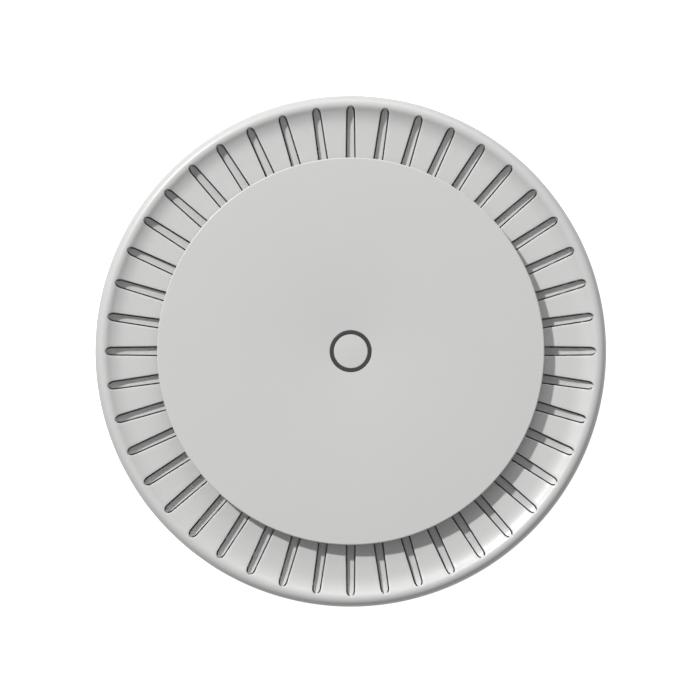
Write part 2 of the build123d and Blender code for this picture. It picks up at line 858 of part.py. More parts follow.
for name in buttons:
    save(f"{name}_button", button_cap(name))
    save(f"{name}_switch_plunger", switch_plunger(name))
    save(f"{name}_switch_body", switch_body(name))

for number, angle in enumerate(antenna_angles, start=1):
    save(f"antenna_{number}", antenna(angle))
    save(f"antenna_lead_{number}", antenna_lead(angle))
save("coax_plugs", coax_plugs())
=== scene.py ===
"""Ceiling access point: its visible surfaces, finishes, light and camera around the fixed frame."""
import json

import bmesh
import bpy
import numpy as np
from bpy.props import FloatProperty, FloatVectorProperty, IntProperty, PointerProperty
from bpy.types import Operator, Panel, PropertyGroup
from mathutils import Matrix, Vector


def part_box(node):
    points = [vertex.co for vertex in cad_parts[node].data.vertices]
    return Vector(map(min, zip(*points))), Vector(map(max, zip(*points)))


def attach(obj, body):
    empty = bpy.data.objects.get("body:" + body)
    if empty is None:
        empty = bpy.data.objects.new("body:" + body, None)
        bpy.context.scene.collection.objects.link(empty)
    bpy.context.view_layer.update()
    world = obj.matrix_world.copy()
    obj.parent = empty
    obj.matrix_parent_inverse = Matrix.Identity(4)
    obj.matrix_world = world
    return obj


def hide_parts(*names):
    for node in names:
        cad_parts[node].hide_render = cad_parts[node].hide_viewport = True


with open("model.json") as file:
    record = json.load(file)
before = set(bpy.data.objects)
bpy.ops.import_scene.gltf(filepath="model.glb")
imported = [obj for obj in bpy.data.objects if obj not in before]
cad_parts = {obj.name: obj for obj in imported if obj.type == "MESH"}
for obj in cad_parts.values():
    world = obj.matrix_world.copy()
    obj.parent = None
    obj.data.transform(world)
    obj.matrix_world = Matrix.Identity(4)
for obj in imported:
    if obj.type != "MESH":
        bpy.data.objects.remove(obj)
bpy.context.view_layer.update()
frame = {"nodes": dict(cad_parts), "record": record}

bl_info = {
    "name": "Ceiling Access Point",
    "version": (1, 0, 0),
    "blender": (4, 5, 0),
    "location": "3D View > Sidebar > Access Point",
    "description": "Builds the surfaces, finishes and stage of a round ceiling access point",
    "category": "Object",
}

MM = 0.001
SLOT_OF = {part["node"]: part["material_slot"] for part in frame["record"]["subparts"]}
POST_ANGLES = np.radians([45, 135, 225, 315])


def length(label, words, value):
    """A size in metres."""
    return FloatProperty(name=label, description=words, default=value, unit="LENGTH", precision=5, min=0.0)


def length_offset(label, words, value):
    """A place in metres, which may be negative."""
    return FloatProperty(name=label, description=words, default=value, unit="LENGTH", precision=5)


def turn_of(label, words, value):
    """An angle in radians."""
    return FloatProperty(name=label, description=words, default=value, subtype="ANGLE")


def colour(label, words, value):
    """A scene-linear colour."""
    return FloatVectorProperty(
        name=label, description=words, default=value, subtype="COLOR", size=3, min=0, max=1
    )


def number(label, words, value):
    """A plain factor."""
    return FloatProperty(name=label, description=words, default=value, precision=3)


def high(node_name):
    """Upper corner of a CAD node's box."""
    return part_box(node_name)[1]


def low(node_name):
    """Lower corner of a CAD node's box."""
    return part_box(node_name)[0]


# ---------------------------------------------------------------- properties
class ShellSizes(PropertyGroup):
    """The front shell: channel, rim and slots."""

    outer_radius: length("Outer radius", "Widest radius of the rim", high("front_shell").x)
    wall: length("Wall", "Thickness of the shell", 1.7 * MM)
    skirt_z: length("Skirt height", "Height of the seam edge", 34.2 * MM)
    plateau_z: length("Plateau height", "Face that the disc sits on", high("front_shell").z)
    plateau_radius: length("Plateau radius", "Radius of the raised middle", 64.0 * MM)
    well_radius: length("Light well radius", "Hole for the light guide", 9.5 * MM)
    floor_drop: length("Channel depth", "From the disc's face to the channel floor", 5.8 * MM)
    boss_circle: length("Boss circle", "Distance of the screw bosses from the middle", 74.0 * MM)
    boss_radius: length("Boss radius", "Radius of a screw boss", 3.0 * MM)
    bore_radius: length("Bore radius", "Radius of a screw boss's bore", 1.3 * MM)
    boss_roof: length("Boss roof", "Solid height above the bore", 3.0 * MM)
    post_bite: length("Post bite", "How far posts reach into the wall that holds them", 0.3 * MM)
    flat_radius: length("Flat floor radius", "Where the channel floor starts to rise", 84.8 * MM)
    hollow_radius: length("Channel curve", "Radius of the hollow curve up to the rim", 10.5 * MM)
    crest_radius: length("Crest radius", "Where the rim is highest", 92.25 * MM)
    rim_radius: length("Rim curve", "Radius of the round rim", 2.8 * MM)
    rim_slope: turn_of("Rim slope", "Slope of the rim's outer side", np.radians(65))
    slot_inner: length("Slot start", "Radius where a slot starts", 68.2 * MM)
    slot_outer: length("Slot end", "Radius where a slot ends", 91.65 * MM)
    slot_tip: length("Slot tip", "Length of the rounded tip", 2.3 * MM)
    slot_wide: length("Slot width inside", "Slot width at its inner end", 3.76 * MM)
    slot_narrow: length("Slot width outside", "Slot width where the tip starts", 3.24 * MM)
    slot_edge: length("Slot edge", "Rounding of the slot's edges", 0.3 * MM)
    slots: IntProperty(name="Slots", description="Number of slots", default=44, min=3)


class LouvreSizes(PropertyGroup):
    """The ring of blades below the slots."""

    drop: length("Drop", "Depth of the blades below the channel", 2.2 * MM)
    wall: length("Wall", "Thickness of the blades", 1.2 * MM)
    gap: length("Gap", "Gap along each side of a blade", 0.45 * MM)
    neck: length("Neck", "Width where a blade meets the outer hoop", 1.2 * MM)
    window_inner: length("Window start", "Inner end of the space between blades", 68.6 * MM)
    window_outer: length("Window end", "Outer end of the space between blades", 91.2 * MM)
    edge: length("Edge", "Rounding of the blade edges", 0.12 * MM)


class DiscSizes(PropertyGroup):
    """The front disc and the ring of light in its middle."""

    stake_circle: length("Stake circle", "Distance of the stakes from the middle", 50.0 * MM)
    stake_radius: length("Stake radius", "Radius of a stake", 1.5 * MM)
    stake_head: length("Stake head", "Height of a stake's head and how far it stands out", 0.9 * MM)
    edge: length("Edge", "Rounding of the disc's front edge", 0.5 * MM)
    groove_inner: length("Groove inside", "Inner radius of the ring groove", 6.28 * MM)
    groove_outer: length("Groove outside", "Outer radius of the ring groove", 7.85 * MM)
    groove_depth: length("Groove depth", "Depth of the ring groove", 1.2 * MM)
    fit: length("Fit", "Gap between the ring and its groove", 0.05 * MM)
    leg_radius: length("Leg radius", "Radius of the light guide's legs", 0.7 * MM)


class Finishes(PropertyGroup):
    """Colours of the finishes."""

    shell: colour("Shell", "Moulded outer plastic", (0.66, 0.657, 0.652))
    inner: colour("Louvre", "Plastic behind the slots", (0.66, 0.657, 0.652))
    lens: colour("Ring", "Smoked light ring", (0.062, 0.060, 0.061))
    floor: colour("Floor", "Pale studio floor", (0.80, 0.80, 0.80))


class StageSettings(PropertyGroup):
    """Light and camera."""

    key_strength: number("Key", "Strength of the key light", 2.45)
    key_angle: turn_of("Key size", "Apparent size of the key light", 0.05)
    fill_strength: number("Fill", "Strength of the soft light", 0.8)
    bounce_strength: number("Bounce", "Strength of the light from below", 1.3)
    fill_angle: turn_of("Fill size", "Apparent size of the soft light", np.radians(40))
    fill_x: number("Fill X", "How far the soft light travels along X while it drops by one", -0.37)
    fill_y: number("Fill Y", "How far the soft light travels along Y while it drops by one", -2.1)
    bounce_angle: turn_of("Bounce size", "Apparent size of the light from below", np.radians(120))
    shadow_x: number("Shadow X", "How far the key light travels along X while it drops by one", 0.77)
    shadow_y: number("Shadow Y", "How far the key light travels along Y while it drops by one", -0.83)
    sky: number("Sky", "Brightness of the surround", 0.30)
    view_width: length("View width", "Width that the camera sees", 261.6 * MM)
    view_x: length_offset("View X", "Where the camera stands along X", -0.26 * MM)
    view_y: length_offset("View Y", "Where the camera stands along Y", 0.45 * MM)
    floor_half: length("Floor", "Half the width of the floor", 3.0)
    floor_gap: length("Floor gap", "How far the floor lies below the object", 0.05 * MM)
    floor_glow: number("Floor glow", "Light that the floor adds for the camera", 0.85)
    lens: FloatProperty(name="Lens", description="Focal length", default=300.0, unit="CAMERA")


# ---------------------------------------------------------------- mesh tools
def grid_faces(rows, columns):
    """Corner numbers of the quads of a grid whose points are numbered row by row."""
    i, j = np.meshgrid(np.arange(rows - 1), np.arange(columns - 1), indexing="ij")
    first = i * columns + j
    return np.stack([first, first + columns, first + columns + 1, first + 1], -1).reshape(-1, 4)


def polar(radius, angle, height):
    """Points from arrays of radius, angle and height that broadcast together."""
    radius, angle, height = np.broadcast_arrays(radius, angle, height)
    return np.stack([radius * np.cos(angle), radius * np.sin(angle), height], -1)


def turned(sheet, angles):
    """Copies of one sheet of points, turned about Z by each angle."""
    cos, sin = np.cos(angles)[:, None, None], np.sin(angles)[:, None, None]
    x, y, z = np.moveaxis(sheet, -1, 0)
    return np.stack([x * cos - y * sin, x * sin + y * cos, np.broadcast_to(z, (len(angles), *z.shape))], -1)


def make_piece(name, sheets, body, material, crease=35.0):
    """One closed mesh from sheets, each a grid of points. Sheets that meet are joined along their borders."""
    points, faces, start = [], [], 0
    for sheet in sheets:
        rows, columns = sheet.shape[:2]
        points.append(sheet.reshape(-1, 3))
        faces.append(grid_faces(rows, columns) + start)
        start += rows * columns
    mesh = bpy.data.meshes.new(name)
    mesh.from_pydata(np.concatenate(points).tolist(), [], np.concatenate(faces).tolist())
    made = bmesh.new()
    made.from_mesh(mesh)
    bmesh.ops.remove_doubles(made, verts=made.verts, dist=0.002 * MM)
    bmesh.ops.dissolve_degenerate(made, edges=made.edges, dist=0.001 * MM)
    bmesh.ops.recalc_face_normals(made, faces=made.faces)
    made.to_mesh(mesh)
    made.free()
    mesh.shade_smooth()
    mesh.set_sharp_from_angle(angle=np.radians(crease))
    piece = bpy.data.objects.new(name, mesh)
    bpy.context.scene.collection.objects.link(piece)
    mesh.materials.append(material)
    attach(piece, body)
    return piece


def rounded(corners, steps=5):
    """Outline through (x, y, radius) corners, each rounded by an arc of its radius."""
    points = np.array([corner[:2] for corner in corners], float)
    out = []
    for k, (x, y, radius) in enumerate(corners):
        here = points[k]
        if radius == 0 or k in (0, len(corners) - 1):
            out.append(here[None])
            continue
        before = points[k - 1] - here
        after = points[k + 1] - here
        before /= np.linalg.norm(before)
        after /= np.linalg.norm(after)
        half = np.arccos(np.clip(before @ after, -1, 1)) / 2
        middle = here + (before + after) / np.linalg.norm(before + after) * radius / np.sin(half)
        reach = radius / np.tan(half)
        a = here + before * reach - middle
        b = here + after * reach - middle
        sweep = np.pi - 2 * half
        t = np.linspace(0, 1, steps + 1)[:, None]
        out.append(middle + (a * np.sin((1 - t) * sweep) + b * np.sin(t * sweep)) / np.sin(sweep))
    return np.concatenate(out)


def lathe(outline, columns=256, x=0.0, y=0.0):
    """A closed outline of (radius, height) points carried round an upright axis."""
    angle = np.linspace(0, 2 * np.pi, columns + 1)
    sheet = polar(outline[:, :1], angle[None], outline[:, 1:])
    return sheet + np.array([x, y, 0.0])


# ---------------------------------------------------------------- node tools
def new_group(name, inputs, outputs):
    """An empty shader node group with named inputs (value or colour) and outputs."""
    group = bpy.data.node_groups.new(name, "ShaderNodeTree")
    kinds = {"value": "NodeSocketFloat", "colour": "NodeSocketColor"}
    for label, kind, value in inputs:
        socket = group.interface.new_socket(label, in_out="INPUT", socket_type=kinds[kind])
        socket.default_value = value
    for label, kind in outputs:
        group.interface.new_socket(label, in_out="OUTPUT", socket_type=kinds[kind])
    return group, group.nodes.new("NodeGroupInput"), group.nodes.new("NodeGroupOutput")


def node(tree, kind, links=None, **values):
    """A node with its settings, plain input values and links from other nodes' sockets."""
    made = tree.nodes.new(kind)
    for key, value in values.items():
        setattr(made, key, value)
    for key, value in (links or {}).items():
        if isinstance(value, bpy.types.NodeSocket):
            tree.links.new(value, made.inputs[key])
        else:
            made.inputs[key].default_value = value
    return made


def grain_group():
    """Moulded grain: fine noise as a height, and broad noise as a small change of roughness and tint."""
    group, given, out = new_group(
        "Moulded grain",
        [
            ("Colour", "colour", (0.6, 0.6, 0.6, 1)),
            ("Grain per metre", "value", 2600.0),
            ("Roughness", "value", 0.42),
            ("Roughness change", "value", 0.05),
            ("Tint change", "value", 0.02),
        ],
        [("Colour", "colour"), ("Roughness", "value"), ("Height", "value")],
    )
    place = node(group, "ShaderNodeTexCoord").outputs["Object"]
    fine = node(
        group,
        "ShaderNodeTexNoise",
        {"Vector": place, "Scale": given.outputs["Grain per metre"], "Detail": 3.0},
    )
    broad = node(
        group, "ShaderNodeTexNoise", {"Vector": place, "Scale": 34.0, "Detail": 4.0, "Roughness": 0.6}
    )
    centred = node(group, "ShaderNodeMath", {0: broad.outputs["Fac"], 1: 0.5}, operation="SUBTRACT")
    rough = node(
        group,
        "ShaderNodeMath",
        {0: centred.outputs[0], 1: given.outputs["Roughness change"], 2: given.outputs["Roughness"]},
        operation="MULTIPLY_ADD",
    )
    tint = node(
        group,
        "ShaderNodeMath",
        {0: centred.outputs[0], 1: given.outputs["Tint change"], 2: 1.0},
        operation="MULTIPLY_ADD",
    )
    tinted = node(
        group,
        "ShaderNodeVectorMath",
        {0: given.outputs["Colour"], "Scale": tint.outputs[0]},
        operation="SCALE",
    )
    group.links.new(tinted.outputs[0], out.inputs["Colour"])
    group.links.new(rough.outputs[0], out.inputs["Roughness"])
    group.links.new(fine.outputs["Fac"], out.inputs["Height"])
    return group


def brushed_group():
    """Fine lines along X: noise squeezed along the line, as a change of roughness and a height."""
    group, given, out = new_group(
        "Brushed lines",
        [
            ("Colour", "colour", (0.6, 0.6, 0.6, 1)),
            ("Lines per metre", "value", 3000.0),
            ("Roughness", "value", 0.3),
            ("Roughness change", "value", 0.2),
        ],
        [("Colour", "colour"), ("Roughness", "value"), ("Height", "value")],
    )
    place = node(group, "ShaderNodeTexCoord").outputs["Object"]
    squeezed = node(group, "ShaderNodeMapping", {"Vector": place, "Scale": (0.04, 1.0, 1.0)})
    lines = node(
        group,
        "ShaderNodeTexNoise",
        {"Vector": squeezed.outputs[0], "Scale": given.outputs["Lines per metre"], "Detail": 2.0},
    )
    centred = node(group, "ShaderNodeMath", {0: lines.outputs["Fac"], 1: 0.5}, operation="SUBTRACT")
    rough = node(
        group,
        "ShaderNodeMath",
        {0: centred.outputs[0], 1: given.outputs["Roughness change"], 2: given.outputs["Roughness"]},
        operation="MULTIPLY_ADD",
    )
    tint = node(group, "ShaderNodeMath", {0: centred.outputs[0], 1: 0.2, 2: 1.0}, operation="MULTIPLY_ADD")
    tinted = node(
        group,
        "ShaderNodeVectorMath",
        {0: given.outputs["Colour"], "Scale": tint.outputs[0]},
        operation="SCALE",
    )
    group.links.new(tinted.outputs[0], out.inputs["Colour"])
    group.links.new(rough.outputs[0], out.inputs["Roughness"])
    group.links.new(lines.outputs["Fac"], out.inputs["Height"])
    return group


def named_group(name, maker):
    """The node group of that name, made on first use."""
    return bpy.data.node_groups.get(name) or maker()


def material_base(name):
    """A material with its Principled shader."""
    material = bpy.data.materials.new(name)
    material.use_nodes = True
    return material, material.node_tree, material.node_tree.nodes["Principled BSDF"]


def textured(name, group_name, maker, colour_value, group_values, bump, metallic=0.0, coat=0.0, **sockets):
    """A material whose colour, roughness and fine height come from a shared node group."""
    material, tree, shader = material_base(name)
    effect = tree.nodes.new("ShaderNodeGroup")
    effect.node_tree = named_group(group_name, maker)
    effect.inputs["Colour"].default_value = (*colour_value, 1)
    for key, value in group_values.items():
        effect.inputs[key].default_value = value
    tree.links.new(effect.outputs["Colour"], shader.inputs["Base Color"])
    tree.links.new(effect.outputs["Roughness"], shader.inputs["Roughness"])
    strength, distance = bump
    raised = node(
        tree,
        "ShaderNodeBump",
        {"Height": effect.outputs["Height"], "Strength": strength, "Distance": distance},
    )
    tree.links.new(raised.outputs["Normal"], shader.inputs["Normal"])
    shader.inputs["Metallic"].default_value = metallic
    shader.inputs["Coat Weight"].default_value = coat
    for key, value in sockets.items():
        shader.inputs[key.replace("_", " ")].default_value = value
    return material


def plastic(name, colour_value, roughness, grain=2600.0, bump=(0.12, 0.02 * MM), **sockets):
    """Moulded plastic with a fine grain."""
    values = {"Grain per metre": grain, "Roughness": roughness}
    return textured(name, "Moulded grain", grain_group, colour_value, values, bump, **sockets)


def metal(name, colour_value, roughness, lines=3000.0, bump=(0.15, 0.01 * MM)):
    """Drawn or rolled metal with fine lines."""
    values = {"Lines per metre": lines, "Roughness": roughness}
    return textured(name, "Brushed lines", brushed_group, colour_value, values, bump, metallic=1.0)


def finishes():
    """What makes each finish, by the record's slot name."""
    chosen = bpy.context.scene.access_point_finishes
    return {
        "shell_plastic": lambda n: plastic(n, chosen.shell, 0.36),
        "inner_plastic": lambda n: plastic(n, chosen.inner, 0.36),
        "bracket_plastic": lambda n: plastic(n, (0.60, 0.60, 0.595), 0.5, grain=1800.0),
        "smoked_lens": lambda n: plastic(n, chosen.lens, 0.3, grain=5000.0, bump=(0.05, 0.01 * MM)),
        "label_paper": lambda n: plastic(n, (0.74, 0.74, 0.73), 0.6, grain=7000.0),
        "plated_steel": lambda n: metal(n, (0.56, 0.57, 0.58), 0.32),
        "circuit_board": lambda n: plastic(n, (0.012, 0.10, 0.035), 0.3, grain=3500.0, coat=0.3),
        "chip_black": lambda n: plastic(n, (0.018, 0.018, 0.02), 0.55, grain=6000.0),
        "tin_plate": lambda n: metal(n, (0.66, 0.66, 0.65), 0.3),
        "thermal_pad": lambda n: plastic(n, (0.30, 0.38, 0.52), 0.75, grain=1500.0),
        "bare_aluminium": lambda n: metal(n, (0.72, 0.73, 0.74), 0.35),
        "capacitor_can": lambda n: metal(n, (0.62, 0.63, 0.64), 0.25),
        "ferrite_grey": lambda n: plastic(n, (0.08, 0.08, 0.085), 0.6, grain=4000.0),
        "led_body": lambda n: plastic(n, (0.85, 0.80, 0.45), 0.25, grain=5000.0),
        "jack_plastic": lambda n: plastic(n, (0.022, 0.022, 0.024), 0.42, grain=4000.0),
        "gold_contact": lambda n: metal(n, (0.83, 0.60, 0.24), 0.22),
        "lead_sheath": lambda n: plastic(n, (0.03, 0.03, 0.032), 0.35, grain=6000.0),
        "antenna_board": lambda n: plastic(n, (0.02, 0.13, 0.05), 0.35, grain=3500.0, coat=0.3),
        "button_plastic": lambda n: plastic(n, (0.05, 0.05, 0.052), 0.45, grain=3000.0),
    }


def finish_of(slot_name):
    """The material of a slot, made on first use."""
    name = slot_name + ".finish"
    return bpy.data.materials.get(name) or finishes()[slot_name](name)


def stand_in(node_name):
    """Hide a CAD node, so that a built piece stands in its place."""
    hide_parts(node_name)


# ---------------------------------------------------------------- shapes
def rim_centre(sizes):
    """Middle height of the rim's round arc, and the sine of the slope where the hollow meets it."""
    across = sizes.crest_radius - sizes.flat_radius
    both = sizes.hollow_radius + sizes.rim_radius
    floor_z = high("front_disc").z - sizes.floor_drop
    return floor_z + sizes.hollow_radius - np.sqrt(both**2 - across**2), across / both


def channel_height(radius, depth, sizes):
    """Height of the channel at a depth below its surface: flat, a hollow arc, then the rim's round arc."""
    rim_z, rise = rim_centre(sizes)
    hollow_z = high("front_disc").z - sizes.floor_drop + sizes.hollow_radius
    out = np.clip(radius - sizes.flat_radius, 0, None)
    hollow = hollow_z - np.sqrt((sizes.hollow_radius + depth) ** 2 - out**2)
    arc = np.sqrt(np.clip((sizes.rim_radius - depth) ** 2 - (radius - sizes.crest_radius) ** 2, 0, None))
    return np.where(radius < sizes.flat_radius + (sizes.hollow_radius + depth) * rise, hollow, rim_z + arc)


def rim_outline(depth, start, sizes):
    """The rim's outline at a depth: the rest of the hollow arc, the round arc and the sloping side."""
    rim_z, rise = rim_centre(sizes)
    change = sizes.flat_radius + (sizes.hollow_radius + depth) * rise
    hollow = np.linspace(start, change, 5)[:-1] if start < change else np.empty(0)
    arc = sizes.rim_radius - depth
    first = max(change, start) - sizes.crest_radius
    angle = np.linspace(np.arccos(first / arc), np.pi / 2 - sizes.rim_slope, 24)
    radius = np.concatenate([hollow, sizes.crest_radius + arc * np.cos(angle)])
    height = np.concatenate([channel_height(hollow, depth, sizes), rim_z + arc * np.sin(angle)])
    side = sizes.outer_radius - depth
    foot = height[-1] - (side - radius[-1]) * np.tan(sizes.rim_slope)
    return np.stack([radius, height], -1), (side, foot)


def slot_side(offset, sizes):
    """One side of a slot along +X, moved outwards: a tapering side between two quarter ellipses."""
    turn = np.linspace(0, np.pi / 2, 9)
    along = np.linspace(0, 1, 15)[1:-1]
    cap = 1.0 * MM
    start = sizes.slot_inner + cap
    end = sizes.slot_outer - sizes.slot_tip
    wide = sizes.slot_wide / 2 + offset
    narrow = sizes.slot_narrow / 2 + offset
    tip = sizes.slot_tip + offset
    x = [start - (cap + offset) * np.cos(turn), start + (end - start) * along, end + tip * np.sin(turn)]
    y = [wide * np.sin(turn), wide + (narrow - wide) * along, narrow * np.cos(turn)]
    x, y = np.concatenate(x), np.concatenate(y)
    return np.hypot(x, y), np.arctan2(y, x)


def shell_sheets(sizes):
    """The front shell: panels between slots, a collar round each slot, and rings inside and outside them."""
    pitch = 2 * np.pi / sizes.slots
    starts = np.arange(sizes.slots) * pitch
    columns = np.linspace(0, 1, 9)
    edge = sizes.slot_edge
    sheets = []
    for offset, depth in ((edge, 0.0), (0.0, sizes.wall)):
        radius, angle = slot_side(offset, sizes)
        across = angle[:, None] + (pitch - 2 * angle[:, None]) * columns
        panel = polar(radius[:, None], across, channel_height(radius, depth, sizes)[:, None])
        sheets += list(turned(panel, starts))
    # collar: the rounded edge from the surface into the slot, then the slot's wall
    turn = np.linspace(0, np.pi / 2, 5)
    rows = []
    for k in turn:
        radius, angle = slot_side(edge * (1 - np.sin(k)), sizes)
        rows.append(polar(radius, angle, channel_height(radius, 0.0, sizes) - edge * (1 - np.cos(k))))
    radius, angle = slot_side(0.0, sizes)
    rows.append(polar(radius, angle, channel_height(radius, sizes.wall, sizes)))
    collar = np.stack(rows, 1)
    sheets += list(turned(collar, starts)) + list(turned(collar * np.array([1.0, -1.0, 1.0]), starts))
    # rings
    around = np.linspace(0, 2 * np.pi, sizes.slots * (len(columns) - 1) + 1)
    outer, outer_foot = rim_outline(0.0, sizes.slot_outer + edge, sizes)
    inner, inner_foot = rim_outline(sizes.wall, sizes.slot_outer, sizes)
    inner = inner[::-1]
    soft = 0.25 * MM
    skirt = rounded(
        [
            (*outer[-1], 0),
            (*outer_foot, 2 * soft),
            (sizes.outer_radius, sizes.skirt_z, soft),
            (sizes.outer_radius - sizes.wall, sizes.skirt_z, soft),
            (*inner_foot, soft),
            (*inner[0], 0),
        ]
    )
    floor_z = float(channel_height(sizes.plateau_radius, 0.0, sizes))
    middle = rounded(
        [
            (sizes.slot_inner - edge, floor_z, 0),
            (sizes.plateau_radius, floor_z, 0.6 * MM),
            (sizes.plateau_radius, sizes.plateau_z, 0.3 * MM),
            (sizes.well_radius, sizes.plateau_z, 0.2 * MM),
            (sizes.well_radius, sizes.plateau_z - sizes.wall, 0.2 * MM),
            (sizes.plateau_radius - sizes.wall, sizes.plateau_z - sizes.wall, 0.3 * MM),
            (sizes.plateau_radius - sizes.wall, floor_z - sizes.wall, 0.3 * MM),
            (sizes.slot_inner, floor_z - sizes.wall, 0),
        ]
    )
    for outline in (np.concatenate([outer, skirt[1:-1], inner]), middle):
        sheets.append(polar(outline[:, :1], around[None], outline[:, 1:]))
    return sheets


def louvre_sheets(shell, sizes):
    """The louvre ring: blades that follow the slots' outline, joined by an inner and an outer hoop."""
    pitch = 2 * np.pi / shell.slots
    starts = np.arange(shell.slots) * pitch
    tip_start = shell.slot_outer - shell.slot_tip
    near_tip = tip_start + (sizes.window_outer - tip_start) * np.sin(np.linspace(0, np.pi / 2, 9))
    radius = np.concatenate([np.linspace(sizes.window_inner, tip_start, 15)[:-1], near_tip])
    share = (radius - shell.slot_inner) / (tip_start - shell.slot_inner)
    side = (shell.slot_wide + (shell.slot_narrow - shell.slot_wide) * share) / 2 - sizes.gap
    beyond = np.clip((radius - tip_start) / (shell.slot_tip - sizes.gap), 0, 1)
    half = np.where(radius < tip_start, side, (shell.slot_narrow / 2 - sizes.gap) * np.sqrt(1 - beyond**2))
    angle = np.arcsin(np.maximum(half, sizes.neck / 2) / radius)
    blade = np.linspace(-1, 1, 5)
    window = np.linspace(0, 1, 5)
    sheets = []
    heights = [channel_height(radius, depth, shell) for depth in (sizes.drop, sizes.drop + sizes.wall)]
    for height in heights:
        sheets += list(turned(polar(radius[:, None], angle[:, None] * blade, height[:, None]), starts))
    for side_of in (-1, 1):
        wall = polar(radius[:, None], side_of * angle[:, None], np.stack(heights, -1))
        sheets += list(turned(wall, starts))
    hoop_z = low("louvre_ring").z
    hoop_out = high("louvre_ring").x
    seat_z = float(channel_height(shell.plateau_radius, shell.wall, shell))
    top, under = heights
    inner_edge = low_radius("louvre_ring")
    seat_edge = sizes.window_inner - 1.0 * MM
    outlines = {
        0: [
            (radius[0], top[0]),
            (seat_edge, top[0]),
            (seat_edge, seat_z),
            (inner_edge, seat_z),
            (inner_edge, under[0]),
            (radius[0], under[0]),
        ],
        -1: [
            (radius[-1], top[-1]),
            (hoop_out, float(channel_height(hoop_out, sizes.drop, shell))),
            (hoop_out, hoop_z),
            (radius[-1], hoop_z),
            (radius[-1], under[-1]),
        ],
    }
    for end, outline in outlines.items():
        outline = np.array(outline)
        open_part = angle[end] + (pitch - 2 * angle[end]) * window
        one = np.concatenate([angle[end] * blade, open_part[1:]])
        sheets += list(turned(polar(outline[:, :1], one[None], outline[:, 1:]), starts))
        end_wall = polar(radius[end], open_part[None], np.array([[top[end]], [under[end]]]))
        sheets += list(turned(end_wall, starts))
    return sheets


def boss_sheets(sizes):
    """The shell's screw bosses: outlines of a post with a blind bore, carried round upright axes."""
    foot = low("front_shell").z
    under = float(channel_height(sizes.plateau_radius, sizes.wall, sizes))
    top = under + sizes.post_bite
    soft = 0.2 * MM
    outline = rounded(
        [
            (0, under - sizes.boss_roof, 0),
            (sizes.bore_radius, under - sizes.boss_roof, soft),
            (sizes.bore_radius, foot, soft),
            (sizes.boss_radius, foot, soft),
            (sizes.boss_radius, top, 0),
            (0, top, 0),
        ],
        steps=3,
    )
    return list(turned(lathe(outline, 32, x=sizes.boss_circle), POST_ANGLES))


def stake_sheets(shell, sizes):
    """The disc's heat stakes: outlines of a peg with a domed head, carried round upright axes."""
    foot = low("front_disc").z
    top = high("front_shell").z + shell.post_bite
    outline = rounded(
        [
            (0, foot, 0),
            (sizes.stake_radius + sizes.stake_head, foot, 0.5 * MM),
            (sizes.stake_radius + sizes.stake_head, foot + sizes.stake_head, 0.05 * MM),
            (sizes.stake_radius, foot + sizes.stake_head, 0.05 * MM),
            (sizes.stake_radius, top, 0),
            (0, top, 0),
        ],
        steps=4,
    )
    return list(turned(lathe(outline, 32, x=sizes.stake_circle), POST_ANGLES))


def low_radius(node_name):
    """Smallest distance of a CAD node's points from the Z axis."""
    mesh = frame["nodes"][node_name].data
    points = np.empty(len(mesh.vertices) * 3, np.float32)
    mesh.vertices.foreach_get("co", points)
    points = points.reshape(-1, 3)
    return float(np.hypot(points[:, 0], points[:, 1]).min())


def disc_outline(sizes):
    """Half section of the disc, from its back middle round the edge to its front middle and ring groove."""
    radius, top = high("front_disc").x, high("front_disc").z
    back = high("front_shell").z
    soft = 0.08 * MM
    groove_z = top - sizes.groove_depth
    return rounded(
        [
            (0, back, 0),
            (radius, back, sizes.edge / 2),
            (radius, top, sizes.edge),
            (sizes.groove_outer, top, soft),
            (sizes.groove_outer, groove_z, 0.02 * MM),
            (sizes.groove_inner, groove_z, 0.02 * MM),
            (sizes.groove_inner, top, soft),
            (0, top, 0),
        ],
        steps=8,
    )


def lens_sheets(sizes):
    """The light ring: a ring with softened edges that fills its groove, on four round legs."""
    top, bottom = high("status_ring_lens").z, high("front_disc").z - sizes.groove_depth
    inner, outer = sizes.groove_inner + sizes.fit, sizes.groove_outer - sizes.fit
    soft = 0.1 * MM
    middle = (inner + outer) / 2
    ring = rounded(
        [
            (middle, top, 0),
            (outer, top, soft),
            (outer, bottom, soft),
            (inner, bottom, soft),
            (inner, top, soft),
            (middle, top, 0),
        ],
        steps=3,
    )
    foot = low("status_ring_lens").z
    head = bottom + soft
    leg = rounded([(0, foot, 0), (sizes.leg_radius, foot, soft), (sizes.leg_radius, head, 0), (0, head, 0)])
    legs = turned(lathe(leg, 20, x=middle), np.arange(4) * np.pi / 2)
    return [lathe(ring, 160)] + list(legs)


# ---------------------------------------------------------------- operators
class ACCESSPOINT_OT_front_shell(Operator):
    """Build the front shell with its channel, rim and slots"""

    bl_idname = "access_point.front_shell"
    bl_label = "Front Shell"

    def execute(self, context):
        sizes = context.scene.access_point_shell
        sheets = shell_sheets(sizes) + boss_sheets(sizes)
        piece = make_piece("front_shell_surface", sheets, "unit", finish_of("shell_plastic"))
        stand_in("front_shell")
        return {"FINISHED"}


class ACCESSPOINT_OT_louvre_ring(Operator):
    """Build the ring of blades behind the slots"""

    bl_idname = "access_point.louvre_ring"
    bl_label = "Louvre Ring"

    def execute(self, context):
        shell = context.scene.access_point_shell
        sizes = context.scene.access_point_louvre
        sheets = louvre_sheets(shell, sizes)
        piece = make_piece("louvre_ring_surface", sheets, "unit", finish_of("inner_plastic"))
        soften = piece.modifiers.new("Soft edges", "BEVEL")
        soften.width = sizes.edge
        soften.segments = 2
        soften.limit_method = "ANGLE"
        soften.angle_limit = np.radians(50)
        stand_in("louvre_ring")
        return {"FINISHED"}


